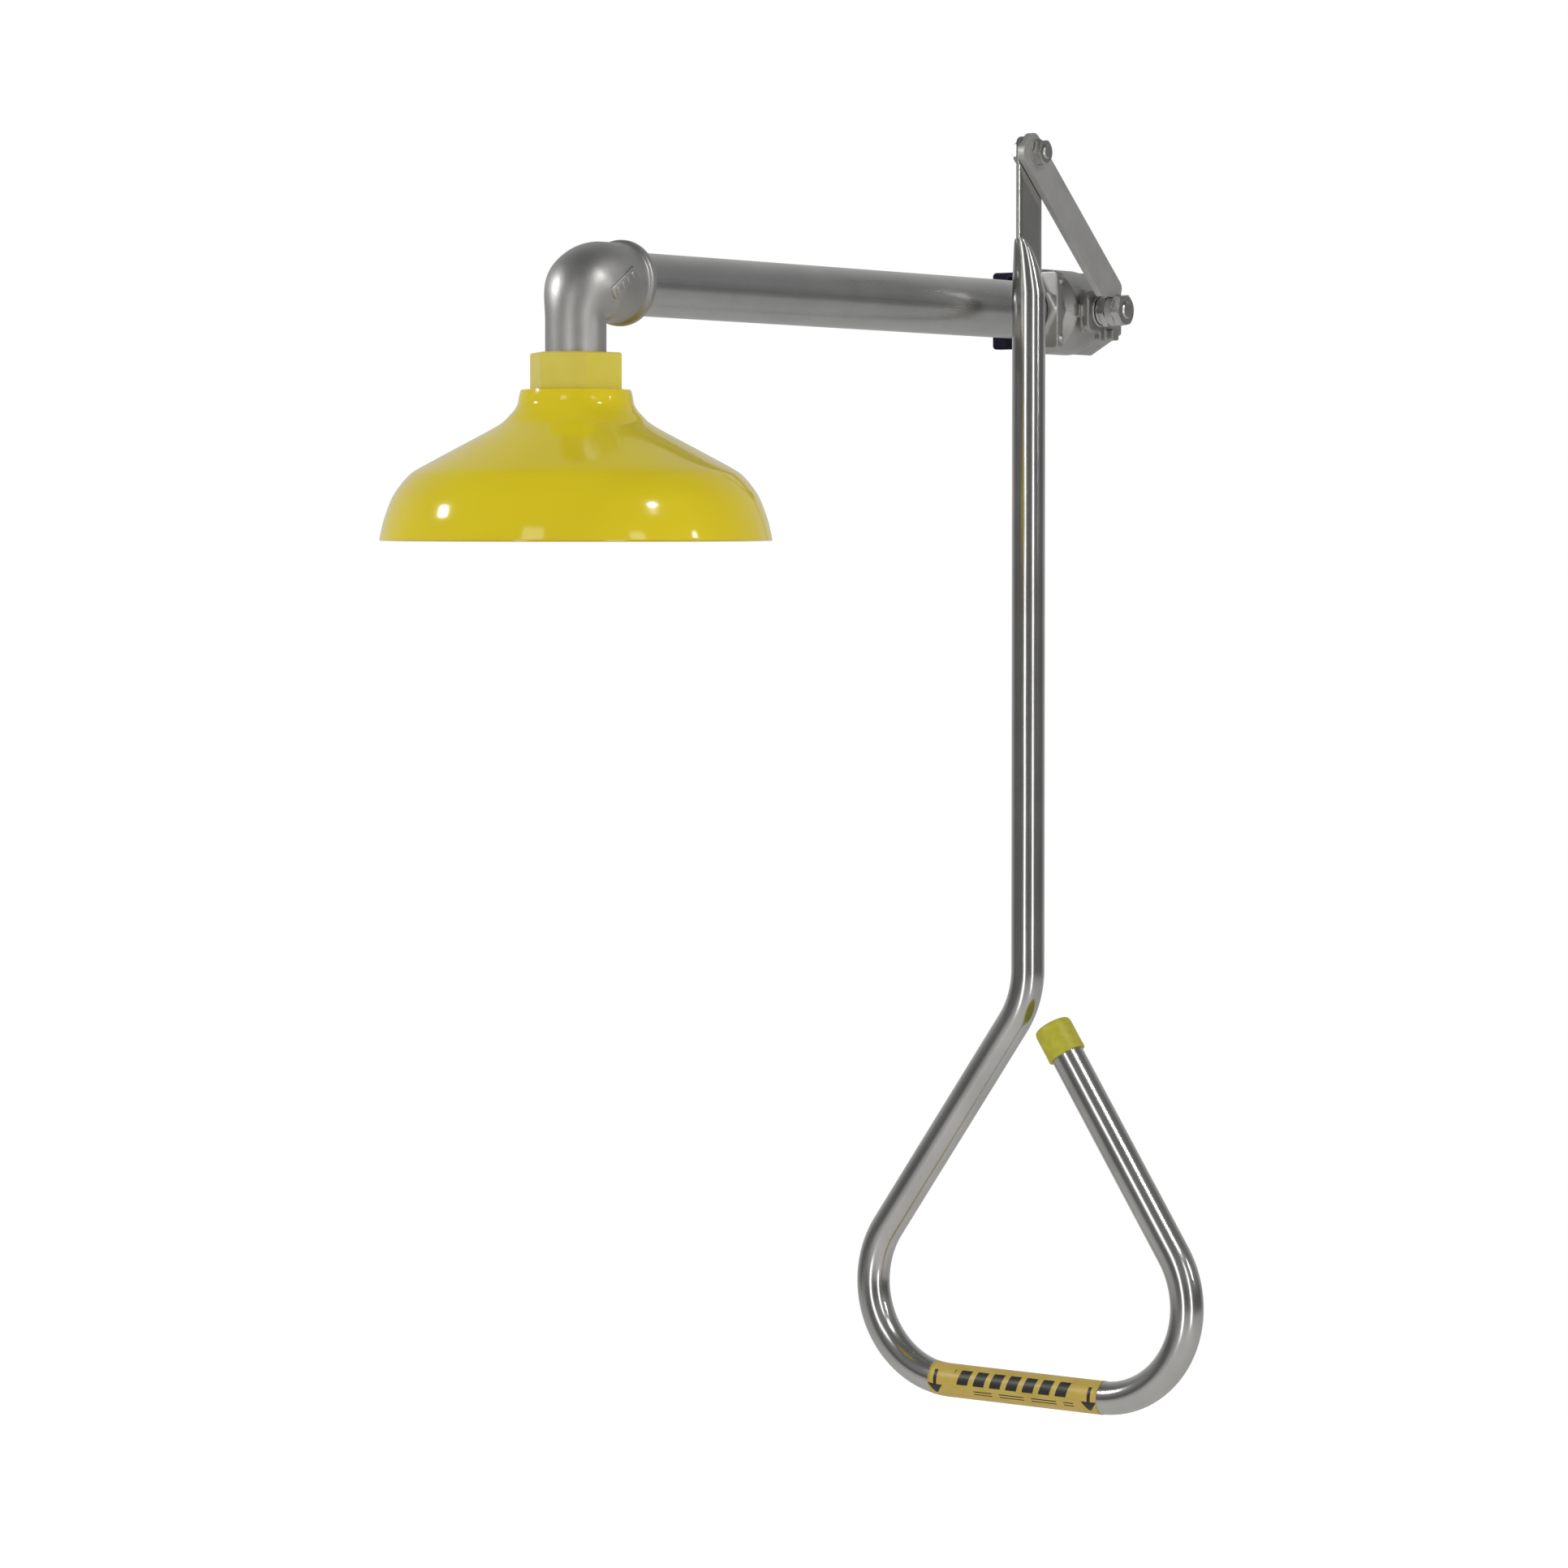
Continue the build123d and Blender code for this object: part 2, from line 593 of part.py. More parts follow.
with BuildPart() as flow_disc:
    with BuildSketch(rose_plane(plate_z - 2.0)):
        Circle(port_radius - thread_fit)
        with PolarLocations(7.5, 6):
            Circle(2.2, mode=Mode.SUBTRACT)
    extrude(amount=-4.0)
save(flow_disc, "flow_disc")

with BuildPart() as deflector_posts:
    with BuildSketch(rose_plane(locknut_z - locknut_height)):
        with PolarLocations(post_circle, 3):
            Circle(post_radius)
    extrude(amount=-(locknut_z - locknut_height - deflector_z))
    with BuildSketch(rose_plane(deflector_z)):
        with PolarLocations(post_circle, 3):
            Circle(screw_radius + thread_fit)
    extrude(amount=9.0, mode=Mode.SUBTRACT)
save(deflector_posts, "deflector_posts")

with BuildPart() as deflector_plate:
    with BuildSketch(rose_plane(deflector_z)):
        Circle(deflector_radius)
        with PolarLocations(post_circle, 3):
            Circle(screw_radius + thread_fit, mode=Mode.SUBTRACT)
    extrude(amount=-deflector_thickness)
    fillet(deflector_plate.edges().filter_by(GeomType.CIRCLE).group_by(SortBy.LENGTH)[-1], radius=0.6)
save(deflector_plate, "deflector_plate")

with BuildPart() as deflector_screws:
    with BuildSketch(rose_plane(deflector_z - deflector_thickness)):
        with PolarLocations(post_circle, 3):
            Circle(screw_radius)
    extrude(amount=deflector_thickness + 8.5)
    with BuildSketch(rose_plane(deflector_z - deflector_thickness)):
        with PolarLocations(post_circle, 3):
            Circle(3.0)
    extrude(amount=-2.0)
save(deflector_screws, "deflector_screws")
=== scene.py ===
import json
import math

import bpy
from mathutils import Matrix, Vector


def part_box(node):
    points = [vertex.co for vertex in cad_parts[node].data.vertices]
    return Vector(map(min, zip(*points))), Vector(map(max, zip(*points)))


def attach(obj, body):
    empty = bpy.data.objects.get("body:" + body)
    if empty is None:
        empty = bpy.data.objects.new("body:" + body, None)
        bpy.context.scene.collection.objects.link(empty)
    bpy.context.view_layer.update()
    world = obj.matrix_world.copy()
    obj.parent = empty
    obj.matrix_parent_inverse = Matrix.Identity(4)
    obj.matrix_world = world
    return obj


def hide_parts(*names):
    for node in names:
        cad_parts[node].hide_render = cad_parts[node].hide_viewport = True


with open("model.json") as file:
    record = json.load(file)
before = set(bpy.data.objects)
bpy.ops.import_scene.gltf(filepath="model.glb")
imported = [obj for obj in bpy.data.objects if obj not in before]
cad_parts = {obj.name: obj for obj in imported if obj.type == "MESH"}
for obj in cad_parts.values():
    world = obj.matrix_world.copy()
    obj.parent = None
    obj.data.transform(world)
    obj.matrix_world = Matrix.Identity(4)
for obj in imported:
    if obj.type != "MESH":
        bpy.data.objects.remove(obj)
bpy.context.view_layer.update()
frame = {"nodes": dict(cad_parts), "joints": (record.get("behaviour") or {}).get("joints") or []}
nodes = frame["nodes"]

# ---------------------------------------------------------------------------------------------
# Camera: stands in front of the wall, to the stem side, a little below the arm.
# A long lens keeps the arm and the rod almost parallel.
bpy.ops.object.select_all(action="DESELECT")
bpy.ops.object.camera_add(location=(1.8759, -2.9980, -0.1544),
                          rotation=(math.radians(87.986), 0.0, math.radians(35.0)))
camera = bpy.context.object
camera.data.lens = 136.3
camera.data.sensor_width = 36.0
camera.data.clip_end = 60.0
bpy.context.scene.camera = camera
bpy.context.scene.view_settings.view_transform = "Standard"


# ---------------------------------------------------------------------------------------------
# Studio: a plain pale floor well under the hanging handle, and a room that the camera sees white.
# The room lights the object with softer greys; two tall strips and three small lamps make the
# long lines on the rod and the short glints on the rose.
def linear(code):
    """sRGB hex to the linear colour that a shader socket takes."""
    parts = [int(code[i:i + 2], 16) / 255.0 for i in (0, 2, 4)]
    return [c / 12.92 if c <= 0.04045 else ((c + 0.055) / 1.055) ** 2.4 for c in parts] + [1.0]


def add(tree, kind, settings=None, links=None):
    """Adds one node: settings go to its ramp's stops, its sockets or its properties."""
    made = tree.nodes.new(kind)
    for key, value in (settings or {}).items():
        if key == "stops":
            ramp = made.color_ramp.elements
            ramp[0].position, ramp[1].position = value[0][0], value[-1][0]
            for spot, _ in value[1:-1]:
                ramp.new(spot)
            for stop, (_, shade) in zip(ramp, value):
                stop.color = linear(shade)
        elif isinstance(key, int) or key in made.inputs:
            made.inputs[key].default_value = value
        else:
            setattr(made, key, value)
    for key, source in (links or {}).items():
        tree.links.new(source, made.inputs[key])
    return made


def start_finish(name):
    """An empty node material and its principled shader."""
    finish = bpy.data.materials.new(name)
    finish.use_nodes = True
    tree = finish.node_tree
    tree.nodes.clear()
    shader = add(tree, "ShaderNodeBsdfPrincipled")
    add(tree, "ShaderNodeOutputMaterial", links={"Surface": shader.outputs[0]})
    return finish, tree, shader


bpy.ops.mesh.primitive_plane_add(size=9.0, location=(0.0, 0.0, -1.35))
floor = bpy.context.object
floor.name = "studio_floor"
floor_paint, tree, shader = start_finish("pale_floor_paint")
shader.inputs["Base Color"].default_value = linear("C9C8C5")
shader.inputs["Roughness"].default_value = 0.9
shader.inputs["Emission Color"].default_value = linear("FFFFFF")
seen = add(tree, "ShaderNodeLightPath")
glow = add(tree, "ShaderNodeMapRange", {"To Min": 0.30, "To Max": 1.0},
           {"Value": seen.outputs["Is Camera Ray"]})
tree.links.new(glow.outputs[0], shader.inputs["Emission Strength"])
floor.data.materials.append(floor_paint)

room = bpy.data.worlds.new("white_room")
room.use_nodes = True
tree = room.node_tree
tree.nodes.clear()
place = add(tree, "ShaderNodeTexCoord")
height = add(tree, "ShaderNodeSeparateXYZ", {}, {"Vector": place.outputs["Generated"]})
up = add(tree, "ShaderNodeMapRange", {"From Min": -1.0, "From Max": 1.0},
         {"Value": height.outputs["Z"]})
room_shades = ((0.38, "C2C2C2"), (0.445, "6C6C6C"), (0.53, "666667"), (0.62, "8C8D8E"),
               (0.90, "707172"))
walls = add(tree, "ShaderNodeValToRGB", {"stops": room_shades}, {"Fac": up.outputs[0]})
back = add(tree, "ShaderNodeVectorMath", {"operation": "DOT_PRODUCT", 1: (-0.574, 0.819, 0.0)},
           {0: place.outputs["Generated"]})
behind = add(tree, "ShaderNodeMapRange", {"From Min": 0.28, "From Max": 0.90},
             {"Value": back.outputs["Value"]})
backdrop = add(tree, "ShaderNodeMix", {"data_type": "RGBA", 7: linear("C8C8C8")},
               {"Factor": behind.outputs[0], 6: walls.outputs[0]})
seen = add(tree, "ShaderNodeLightPath")
pick = add(tree, "ShaderNodeMix", {"data_type": "RGBA", 7: linear("FFFFFF")},
           {"Factor": seen.outputs["Is Camera Ray"], 6: backdrop.outputs[2]})
glow = add(tree, "ShaderNodeBackground", {"Strength": 1.0}, {"Color": pick.outputs[2]})
add(tree, "ShaderNodeOutputWorld", links={"Surface": glow.outputs[0]})
bpy.context.scene.world = room


def softbox(name, place, aim, size, watts):
    """A square studio light that looks at a point."""
    bpy.ops.object.light_add(type="AREA", location=place)
    lamp = bpy.context.object
    lamp.name = name
    lamp.data.shape = "RECTANGLE"
    lamp.data.size = size[0]
    lamp.data.size_y = size[1]
    lamp.data.energy = watts
    lamp.rotation_euler = (Vector(aim) - Vector(place)).to_track_quat("-Z", "Y").to_euler()


softbox("left_lamp", (-1.42, -1.50, 0.72), (0.0, -0.4, -0.2), (0.11, 0.035), 13.0)
softbox("right_lamp", (1.78, -0.52, 1.20), (0.0, -0.4, -0.2), (0.10, 0.035), 12.0)
softbox("front_strip", (0.45, -2.70, -0.30), (0.0, -0.13, -0.30), (0.50, 2.4), 10.0)
softbox("stem_side_strip", (2.40, -1.23, -0.30), (0.0, -0.13, -0.30), (0.40, 2.4), 8.5)
softbox("thin_strip", (2.06, 0.28, 0.35), (0.0, -0.45, -0.05), (0.03, 0.5), 3.0)


# ---------------------------------------------------------------------------------------------
# Arm: one inch stainless pipe, drawn and satin finished, screwed into valve and elbow.
# The draw lines run along it, too fine to count, so the highlight is long and soft.
# lines about 1 mm apart, drawn coarser than the real 0.1 mm ones so that they show
satin_pipe, tree, shader = start_finish("satin_drawn_stainless")
place = add(tree, "ShaderNodeTexCoord")
stretch = add(tree, "ShaderNodeMapping", {"Scale": (900.0, 14.0, 900.0)},
              {"Vector": place.outputs["Object"]})
lines = add(tree, "ShaderNodeTexNoise", {"Scale": 1.0, "Detail": 3.0},
            {"Vector": stretch.outputs[0]})
cloud = add(tree, "ShaderNodeTexNoise", {"Scale": 22.0, "Detail": 3.0},
            {"Vector": place.outputs["Object"]})
tone = add(tree, "ShaderNodeValToRGB", {"stops": ((0.3, "ABABA9"), (0.7, "BBBBB9"))},
           {"Fac": cloud.outputs["Fac"]})
rough = add(tree, "ShaderNodeMapRange", {"To Min": 0.20, "To Max": 0.32},
            {"Value": lines.outputs["Fac"]})
bump = add(tree, "ShaderNodeBump", {"Strength": 0.10, "Distance": 0.0001},
           {"Height": lines.outputs["Fac"]})
tree.links.new(tone.outputs[0], shader.inputs["Base Color"])
tree.links.new(rough.outputs[0], shader.inputs["Roughness"])
tree.links.new(bump.outputs[0], shader.inputs["Normal"])
shader.inputs["Metallic"].default_value = 1.0


def refinish(node, finish):
    """Puts a finish on a CAD node in place of its plain one."""
    nodes[node].data.materials.clear()
    nodes[node].data.materials.append(finish)


refinish("arm_pipe", satin_pipe)


# ---------------------------------------------------------------------------------------------
# Cast pieces: valve body, its inlet end and the elbow, investment cast stainless, bead blasted.
# Blasting leaves a fine grey grain; the elbow has a beaded collar and plain bars on its cheek.
# grain about 0.7 mm and pits about 4 mm, both coarser than real blasting so that they show
cast_steel, tree, shader = start_finish("bead_blasted_cast_stainless")
place = add(tree, "ShaderNodeTexCoord")
grain = add(tree, "ShaderNodeTexNoise", {"Scale": 1500.0, "Detail": 2.0},
            {"Vector": place.outputs["Object"]})
pits = add(tree, "ShaderNodeTexNoise", {"Scale": 260.0, "Detail": 4.0},
           {"Vector": place.outputs["Object"]})
cloud = add(tree, "ShaderNodeTexNoise", {"Scale": 35.0, "Detail": 2.0},
            {"Vector": place.outputs["Object"]})
tone = add(tree, "ShaderNodeValToRGB", {"stops": ((0.3, "A4A3A0"), (0.7, "BCBBB8"))},
           {"Fac": cloud.outputs["Fac"]})
# painted shade: a dark blue-black band on the far side of the valve's outlet rim, where its end
# face lies in shadow
axes = add(tree, "ShaderNodeSeparateXYZ", {}, {"Vector": place.outputs["Object"]})
rim = add(tree, "ShaderNodeMath", {"operation": "COMPARE", 1: -0.0775, 2: 0.0060},
          {0: axes.outputs["Y"]})
side = add(tree, "ShaderNodeMapRange", {"From Min": 0.010, "From Max": 0.004},
           {"Value": axes.outputs["X"]})
painted_shade_mask = add(tree, "ShaderNodeMath", {"operation": "MULTIPLY"},
            {0: rim.outputs[0], 1: side.outputs[0]})
# the painted shade's dark blue-black colour, mixed over the grey cast tone
shaded_rim_colour = add(tree, "ShaderNodeMix", {"data_type": "RGBA", 7: linear("23222E")},
             {"Factor": painted_shade_mask.outputs[0], 6: tone.outputs[0]})
both = add(tree, "ShaderNodeMix", {"data_type": "FLOAT", "Factor": 0.45},
           {2: grain.outputs["Fac"], 3: pits.outputs["Fac"]})
rough = add(tree, "ShaderNodeMapRange", {"To Min": 0.40, "To Max": 0.52},
            {"Value": pits.outputs["Fac"]})
bump = add(tree, "ShaderNodeBump", {"Strength": 0.35, "Distance": 0.0003},
           {"Height": both.outputs[0]})
tree.links.new(shaded_rim_colour.outputs[2], shader.inputs["Base Color"])
tree.links.new(rough.outputs[0], shader.inputs["Roughness"])
tree.links.new(bump.outputs[0], shader.inputs["Normal"])
shader.inputs["Metallic"].default_value = 1.0


def merged_copy(node, name):
    """A copy of a CAD node with its loose triangles joined and its flats whole."""
    bpy.ops.object.select_all(action="DESELECT")
    piece = bpy.data.objects.new(name, nodes[node].data.copy())
    bpy.context.scene.collection.objects.link(piece)
    piece.data.materials.clear()
    bpy.context.view_layer.objects.active = piece
    piece.select_set(True)
    bpy.ops.mesh.customdata_custom_splitnormals_clear()
    bpy.ops.object.mode_set(mode="EDIT")
    bpy.ops.mesh.select_all(action="SELECT")
    bpy.ops.mesh.remove_doubles(threshold=0.000002)
    bpy.ops.mesh.dissolve_limited(angle_limit=math.radians(0.4))
    bpy.ops.object.mode_set(mode="OBJECT")
    return piece


def apply_all(piece):
    """Applies a piece's modifiers in order."""
    bpy.context.view_layer.objects.active = piece
    for modifier in list(piece.modifiers):
        bpy.ops.object.modifier_apply(modifier=modifier.name)


def cast_piece(node, name, bosses=()):
    """A casting: the exact shape with every edge and inner corner softened by the mould."""
    piece = merged_copy(node, name)
    for spot in bosses:
        bpy.ops.mesh.primitive_uv_sphere_add(segments=24, ring_count=12, radius=0.0020,
                                             location=spot)
        bpy.ops.object.transform_apply(location=True, rotation=True, scale=True)
        piece.select_set(True)
        bpy.context.view_layer.objects.active = piece
        bpy.ops.object.join()
    skin = piece.modifiers.new("mould_skin", "REMESH")
    skin.mode = "VOXEL"
    skin.voxel_size = 0.0006
    soften = piece.modifiers.new("mould_soften", "SMOOTH")
    soften.factor = 0.5
    soften.iterations = 3
    apply_all(piece)
    bpy.ops.object.shade_smooth()
    piece.data.materials.append(cast_steel)
    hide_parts(node)
    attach(piece, "valve_and_arm")


# two small cast bosses stand on the stem side of the outlet flange
flange_bosses = [Vector((0.0221, -0.0700, 0.0168)), Vector((0.0221, -0.0700, -0.0168))]
cast_piece("valve_body", "cast_valve_body", flange_bosses)
cast_piece("valve_end_piece", "cast_valve_end")


def tube_along(name, run, radii, side, around):
    """A round bar with a radius at each point of a run; side is square to the run's plane."""
    verts, faces = [], []
    for i, p in enumerate(run):
        way = (run[min(i + 1, len(run) - 1)] - run[max(i - 1, 0)]).normalized()
        up = way.cross(side).normalized()
        for k in range(around):
            turn = 2 * math.pi * k / around
            verts.append(p + (up * math.cos(turn) + side * math.sin(turn)) * radii[i])
    for i in range(len(run) - 1):
        for k in range(around):
            a, b = i * around + k, i * around + (k + 1) % around
            faces.append((a, b, b + around, a + around))
    last = (len(run) - 1) * around
    faces += [tuple(range(around)), tuple(reversed(range(last, last + around)))]
    mesh = bpy.data.meshes.new(name)
    mesh.from_pydata([tuple(v) for v in verts], [], faces)
    length = [0.0]
    for p, q in zip(run, run[1:]):
        length.append(length[-1] + (q - p).length)
    grain = mesh.uv_layers.new(name="grain")
    for face in mesh.polygons:
        turns = [mesh.loops[loop].vertex_index % around for loop in face.loop_indices]
        for loop, k in zip(face.loop_indices, turns):
            k += around if k == 0 and around - 1 in turns else 0
            grain.data[loop].uv = (length[mesh.loops[loop].vertex_index // around],
                                   2 * math.pi * k / around * radii[0])
    piece = bpy.data.objects.new(name, mesh)
    bpy.context.scene.collection.objects.link(piece)
    bpy.ops.object.select_all(action="DESELECT")
    piece.select_set(True)
    bpy.context.view_layer.objects.active = piece
    bpy.ops.object.mode_set(mode="EDIT")
    bpy.ops.mesh.select_all(action="SELECT")
    bpy.ops.mesh.normals_make_consistent(inside=False)
    bpy.ops.object.mode_set(mode="OBJECT")
    return piece


elbow_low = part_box("elbow")[0]
shell_low, shell_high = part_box("rose_shell")
rose_axis = Vector(((shell_low.x + shell_high.x) / 2, (shell_low.y + shell_high.y) / 2, 0.0))
bend = 0.0208
leg_radius = 0.0161
run = [rose_axis + Vector((0, 0, elbow_low.z + 0.002 * i)) for i in range(16)]
run.append(rose_axis + Vector((0, 0, -bend)))
radii = [leg_radius] * len(run)
bend_steps = 24
swell_steps = 14
collar_swell = 0.0050
for i in range(1, bend_steps + 1):
    turn = math.radians(90) * i / bend_steps
    part = min(1.0, i / swell_steps)
    run.append(rose_axis + Vector((0, bend - bend * math.cos(turn), -bend + bend * math.sin(turn))))
    radii.append(leg_radius + collar_swell * part * part * (3 - 2 * part))
collar = ((0.030, 0.0211), (0.0352, 0.0211), (0.0362, 0.0213), (0.0366, 0.0217), (0.0371, 0.0224),
          (0.0378, 0.0227), (0.0386, 0.0228), (0.0404, 0.0228), (0.0412, 0.0226), (0.0418, 0.0220),
          (0.0420, 0.0212), (0.0420, 0.0186), (0.0417, 0.0175))
for along, radius in collar:
    run.append(rose_axis + Vector((0, along, 0)))
    radii.append(radius)
elbow = tube_along("cast_elbow", run, radii, Vector((1, 0, 0)), 128)
bpy.ops.object.shade_smooth_by_angle(angle=math.radians(40))
elbow.data.materials.append(cast_steel)
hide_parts("elbow")
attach(elbow, "valve_and_arm")

# Raised cast tag: a long rounded pad on the cheek that climbs to the collar, with four plain bars.
bars = []
tag = rose_axis + Vector((0.0204, 0.0150, -0.0010))
climb = math.radians(32)
pad_size = (0.0026, 0.0235, 0.0072)
bar_size = (0.0026, 0.0024, 0.0044)
bar_rise = 0.0006
tag_parts = [(0.0, pad_size, 0.0)]
tag_parts += [(along, bar_size, bar_rise) for along in (-0.0075, -0.0025, 0.0025, 0.0075)]
for along, size, rise in tag_parts:
    bpy.ops.object.select_all(action="DESELECT")
    spot = tag + Vector((rise, along * math.cos(climb), along * math.sin(climb)))
    bpy.ops.mesh.primitive_cube_add(size=1.0, location=spot, rotation=(climb, 0, 0), scale=size)
    bar = bpy.context.object
    bpy.ops.object.transform_apply(location=True, rotation=True, scale=True)
    edge = bar.modifiers.new("edge", "BEVEL")
    edge.width = 0.0011 if along == 0.0 else 0.0005
    edge.segments = 3
    apply_all(bar)
    bars.append(bar)
bpy.ops.object.select_all(action="DESELECT")
for bar in bars:
    bar.select_set(True)
bpy.context.view_layer.objects.active = bars[0]
bpy.ops.object.join()
cast_marks = bpy.context.object
cast_marks.name = "elbow_cast_marks"
bpy.ops.object.shade_smooth_by_angle(angle=math.radians(50))
cast_marks.data.materials.append(cast_steel)
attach(cast_marks, "valve_and_arm")


# ---------------------------------------------------------------------------------------------
# Rose shell: one injection moulded ABS bell, high gloss, open below.
# It is spun round the rose axis; the gloss mirrors the softboxes.
def turned(name, line, centre, steps):
    """Spins a closed or open line of (radius, height) points round an upright axis."""
    bpy.ops.object.select_all(action="DESELECT")
    mesh = bpy.data.meshes.new(name)
    mesh.from_pydata([(r, 0.0, z) for r, z in line], [(i, i + 1) for i in range(len(line) - 1)], [])
    piece = bpy.data.objects.new(name, mesh)
    bpy.context.scene.collection.objects.link(piece)
    bpy.context.view_layer.objects.active = piece
    piece.select_set(True)
    bpy.ops.object.mode_set(mode="EDIT")
    bpy.ops.mesh.select_all(action="SELECT")
    bpy.ops.mesh.spin(steps=steps, angle=2 * math.pi, center=(0, 0, 0), axis=(0, 0, 1))
    bpy.ops.mesh.select_all(action="SELECT")
    bpy.ops.mesh.remove_doubles(threshold=0.00001)
    bpy.ops.mesh.normals_make_consistent(inside=False)
    bpy.ops.object.mode_set(mode="OBJECT")
    piece.data.transform(Matrix.Translation(centre))
    return piece


def smooth_line(points, cuts):
    """A soft line through the given points: Catmull-Rom with a few cuts per span."""
    ends = [points[0]] + list(points) + [points[-1]]
    line = []
    for i in range(1, len(ends) - 2):
        a, b, c, d = (Vector(p) for p in ends[i - 1:i + 3])
        for k in range(cuts):
            t = k / cuts
            line.append(0.5 * ((2 * b) + (c - a) * t + (2 * a - 5 * b + 4 * c - d) * t * t
                               + (3 * b - a - 3 * c + d) * t ** 3))
    line.append(Vector(points[-1]))
    return line


plate_z = shell_high.z
rose_outside = [(29.2, -1.0), (29.8, -3.5), (30.6, -7.5), (32.3, -10.6), (34.8, -13.4),
                (38.6, -17.2), (45.2, -21.2), (53.2, -25.5), (69.1, -34.0), (84.0, -42.2),
                (89.0, -46.4), (92.8, -51.0), (95.8, -55.6), (97.8, -60.0), (99.4, -64.4),
                (100.9, -69.0), (102.2, -74.4), (102.95, -78.2)]
outside = smooth_line([(r / 1000, z / 1000) for r, z in rose_outside], 4)
wall = 0.0028
inside = []
for i, point in enumerate(outside):
    before = outside[max(i - 1, 0)]
    after = outside[min(i + 1, len(outside) - 1)]
    way = (after - before).normalized()
    inside.append(point + Vector((way.y, -way.x)) * wall)
inside = [p for p in inside if p.y < -0.0048]
bell_line = ([(0.0170, 0.0), (0.0284, 0.0), (0.0290, -0.0003)] + [tuple(p) for p in outside]
             + [(0.10285, -0.0788), (0.1024, -0.0790), (0.1008, -0.0790)]
             + [tuple(p) for p in reversed(inside)]
             + [(0.0262, -0.0040), (0.0170, -0.0040), (0.0170, 0.0)])
rose_shell = turned("rose_bell", bell_line, rose_axis + Vector((0, 0, plate_z)), 160)
bpy.ops.object.shade_smooth_by_angle(angle=math.radians(35))

# orange peel about 6 mm across; the moulding gives clear, small glints
gloss_yellow, tree, shader = start_finish("gloss_moulded_abs_yellow")
place = add(tree, "ShaderNodeTexCoord")
flow = add(tree, "ShaderNodeTexNoise", {"Scale": 9.0, "Detail": 2.0},
           {"Vector": place.outputs["Object"]})
tone = add(tree, "ShaderNodeValToRGB", {"stops": ((0.35, "EDD51A"), (0.65, "F1DB22"))},
           {"Fac": flow.outputs["Fac"]})
peel = add(tree, "ShaderNodeTexNoise", {"Scale": 160.0, "Detail": 2.0},
           {"Vector": place.outputs["Object"]})
rough = add(tree, "ShaderNodeMapRange", {"To Min": 0.07, "To Max": 0.11},
            {"Value": flow.outputs["Fac"]})
bump = add(tree, "ShaderNodeBump", {"Strength": 0.03, "Distance": 0.0003},
           {"Height": peel.outputs["Fac"]})
tree.links.new(tone.outputs[0], shader.inputs["Base Color"])
tree.links.new(rough.outputs[0], shader.inputs["Roughness"])
tree.links.new(bump.outputs[0], shader.inputs["Normal"])
shader.inputs["IOR"].default_value = 1.47
shader.inputs["Coat Weight"].default_value = 0.15
shader.inputs["Coat Roughness"].default_value = 0.08
rose_shell.data.materials.append(gloss_yellow)
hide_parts("rose_shell")
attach(rose_shell, "valve_and_arm")
refinish("deflector_plate", gloss_yellow)


# ---------------------------------------------------------------------------------------------
# Rose socket: moulded hexagon that screws on the elbow's leg, with a spigot through the bell.
# The plastic is the same yellow but matt from the tool, paler, with soft sink marks on its flats.
# tool sparkle about 0.6 mm and sink marks about 22 mm across; the sheen is broad and soft
matt_yellow, tree, shader = start_finish("matt_moulded_abs_yellow")
place = add(tree, "ShaderNodeTexCoord")
sink = add(tree, "ShaderNodeTexNoise", {"Scale": 45.0, "Detail": 2.0},
           {"Vector": place.outputs["Object"]})
tone = add(tree, "ShaderNodeValToRGB", {"stops": ((0.3, "E2D043"), (0.7, "E9DA55"))},
           {"Fac": sink.outputs["Fac"]})
spark = add(tree, "ShaderNodeTexNoise", {"Scale": 1800.0, "Detail": 1.0},
            {"Vector": place.outputs["Object"]})
rough = add(tree, "ShaderNodeMapRange", {"To Min": 0.30, "To Max": 0.40},
            {"Value": sink.outputs["Fac"]})
bump = add(tree, "ShaderNodeBump", {"Strength": 0.12, "Distance": 0.0002},
           {"Height": spark.outputs["Fac"]})
tree.links.new(tone.outputs[0], shader.inputs["Base Color"])
tree.links.new(rough.outputs[0], shader.inputs["Roughness"])
tree.links.new(bump.outputs[0], shader.inputs["Normal"])
shader.inputs["IOR"].default_value = 1.53


def edged_piece(node, name, finish, body):
    """A machined or moulded piece: the exact shape with its corners broken."""
    piece = merged_copy(node, name)
    edge = piece.modifiers.new("broken_edge", "BEVEL")
    edge.limit_method = "ANGLE"
    edge.angle_limit = math.radians(28.0)
    edge.width = 0.0004
    edge.segments = 3
    edge.use_clamp_overlap = True
    flats = piece.modifiers.new("flat_faces", "WEIGHTED_NORMAL")
    flats.weight = 80
    bpy.ops.object.shade_smooth()
    apply_all(piece)
    piece.data.materials.append(finish)
    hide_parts(node)
    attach(piece, body)


edged_piece("rose_socket", "moulded_socket", matt_yellow, "valve_and_arm")
for node in ("rose_locknut", "flow_disc", "deflector_posts"):
    refinish(node, matt_yellow)


# ---------------------------------------------------------------------------------------------
# Pull rod: one stainless tube, 19 mm, bent to a triangular handle and pressed flat at the top.
# It is mechanically polished, so it mirrors the room in long streaks with faint lines along it.
pivot = Vector(next(j for j in frame["joints"] if j["child"] == "rod")["pos_m"])
rod_radius = 0.009525
rod_bend = 0.055
rod_sides = 96
rod_top = 0.0090
rod_corners = [(0.0, rod_top), (0.0, -0.4849), (-0.1567, -0.7065), (0.1545, -0.7129),
               (0.0169, -0.5003)]


